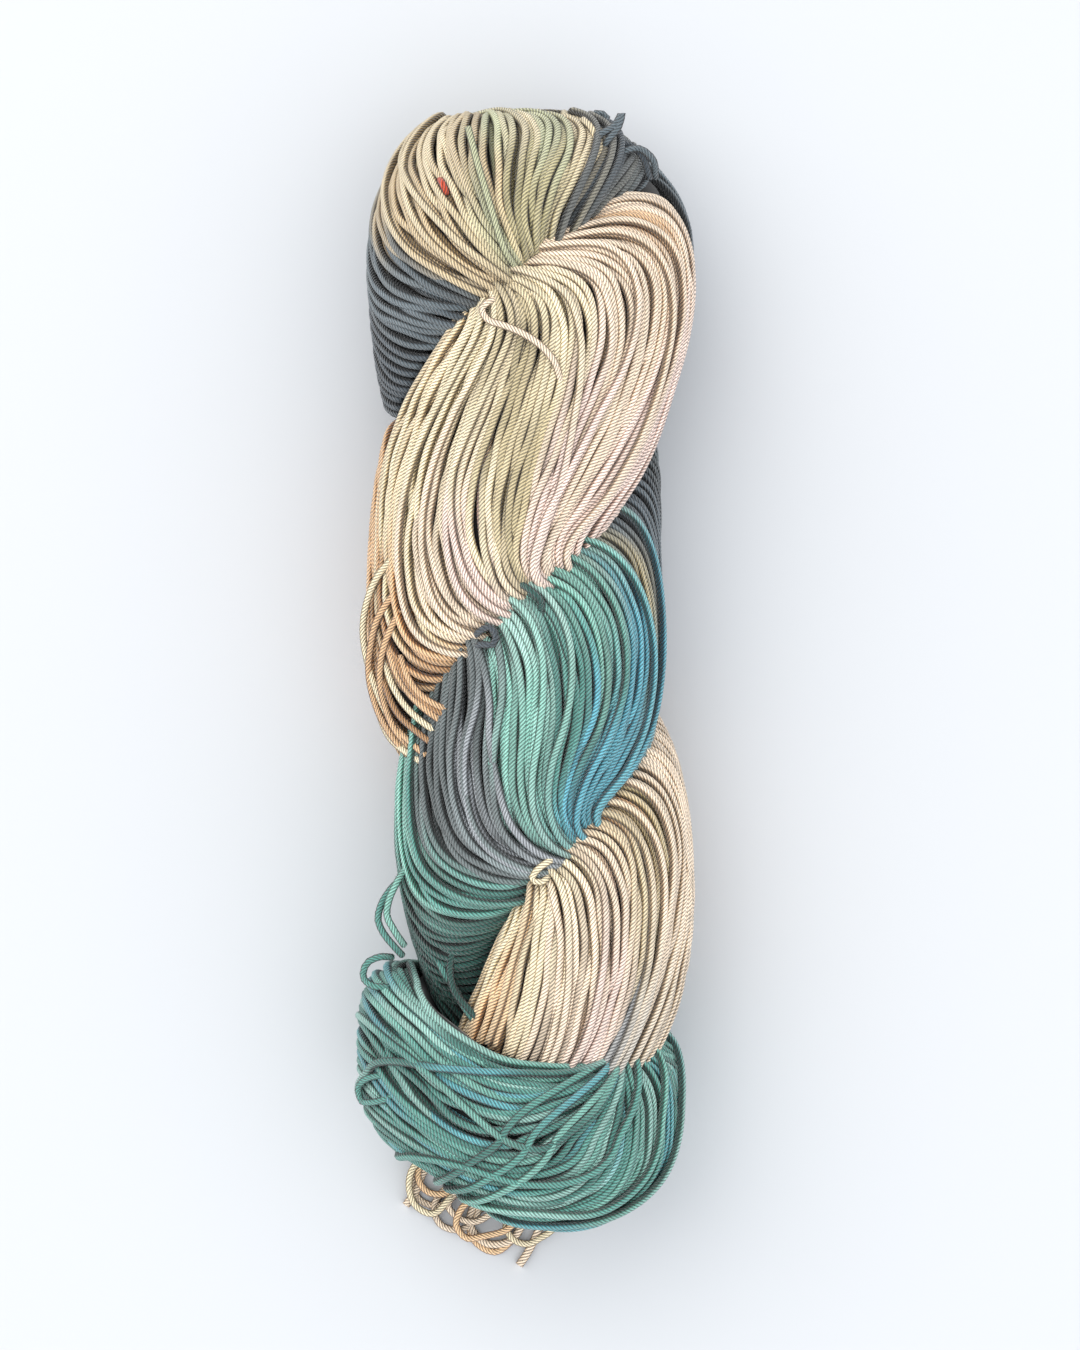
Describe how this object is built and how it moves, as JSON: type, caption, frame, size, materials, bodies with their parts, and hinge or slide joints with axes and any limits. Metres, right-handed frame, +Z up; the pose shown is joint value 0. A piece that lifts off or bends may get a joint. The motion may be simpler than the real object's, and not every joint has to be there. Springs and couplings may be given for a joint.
{
  "type": "hank of cotton yarn",
  "caption": "twisted hank of hand-dyed plied cotton yarn, folded into two strands and locked by its own end loop, with loose ends",
  "frame": {"origin": "on the resting surface, under the middle of the hank", "axes": "+Y along the hank from the locked end to the fold, +Z up, +X to the right seen from above with the fold away from the viewer"},
  "size_m": [0.0754, 0.259, 0.0504],
  "materials": {
    "dyed_cotton": "soft plied cotton, dyed in bands of peach, sand, olive, grey and teal",
    "pale_cotton": "soft plied cotton, peach"
  },
  "bodies": {
    "root": {"hank": "dyed_cotton", "loose_end_1": "pale_cotton", "loose_end_2": "pale_cotton", "loose_loop": "pale_cotton"}
  },
  "joints": []
}
